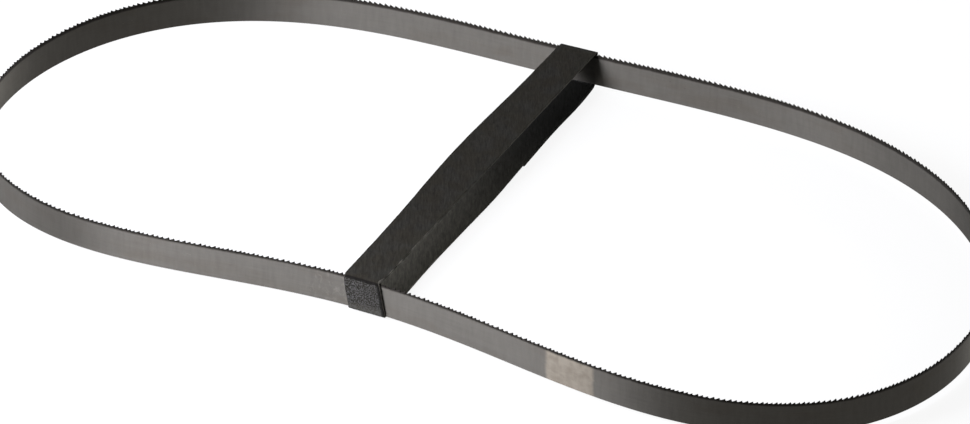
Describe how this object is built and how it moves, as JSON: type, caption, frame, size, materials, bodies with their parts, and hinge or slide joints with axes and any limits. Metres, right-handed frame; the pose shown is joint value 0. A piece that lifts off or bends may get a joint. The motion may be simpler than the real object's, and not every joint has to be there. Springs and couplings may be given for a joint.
{
  "type": "band saw blade",
  "caption": "Endless narrow band saw blade with fine teeth, standing on its back edge, held pinched by a hook-and-loop strap.",
  "frame": {"origin": "on the surface it stands on, under the middle of the loop's box", "axes": "+X along the length of the loop, +Y from the front run to the rear run, +Z from the back edge to the teeth"},
  "size_m": [0.3597, 0.1688, 0.0157],
  "materials": {
    "steel": "rolled strip steel with a fine grain along the band, darker where it was heat treated, ground bright over the weld",
    "strap": "matt woven nylon with a short looped pile"
  },
  "bodies": {
    "root": {"blade": "steel", "strap": "strap"}
  },
  "joints": []
}
